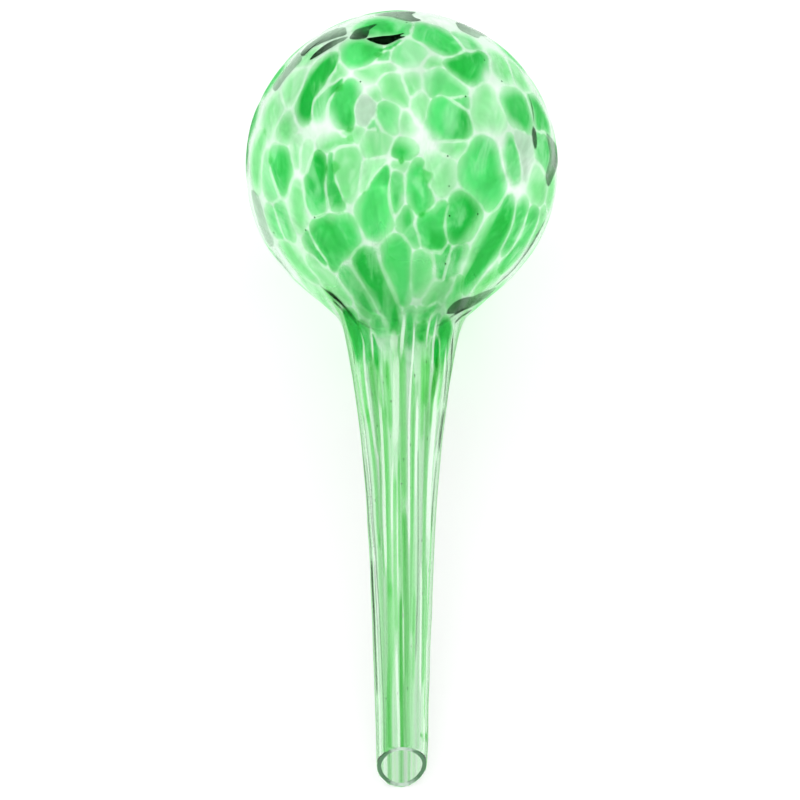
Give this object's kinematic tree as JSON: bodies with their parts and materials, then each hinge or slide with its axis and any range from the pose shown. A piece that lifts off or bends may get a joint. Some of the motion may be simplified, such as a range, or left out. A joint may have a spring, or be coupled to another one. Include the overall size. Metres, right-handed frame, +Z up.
{
  "type": "watering globe",
  "caption": "Blown glass plant watering globe: hollow mottled green ball drawn out into a tapering hollow stem with a slanted open mouth that is pushed into potting soil.",
  "frame": {"origin": "on the stem's axis at the middle of the slanted mouth", "axes": "+Z up the stem from the mouth to the ball, the way the globe stands in a pot; -Y is the side where the mouth is cut shorter"},
  "size_m": [0.08, 0.08, 0.2195],
  "materials": {
    "clear_glass": "clear, fire polished",
    "milk_glass": "thin milky white, glossy",
    "smoke_glass": "clear with a grey green cast, glossy",
    "emerald_glass": "deep transparent green, glossy",
    "leaf_glass": "middle transparent green, glossy",
    "mint_glass": "pale transparent green, glossy"
  },
  "bodies": {
    "root": {"ball_bubble": "clear_glass", "stem_tube": "clear_glass", "ball_veil": "milk_glass", "chips_clear": "smoke_glass", "chips_emerald": "emerald_glass", "chips_leaf": "leaf_glass", "chips_mint": "mint_glass", "streaks_emerald": "emerald_glass", "streaks_leaf": "leaf_glass", "streaks_mint": "mint_glass", "streaks_white": "milk_glass"}
  },
  "joints": []
}
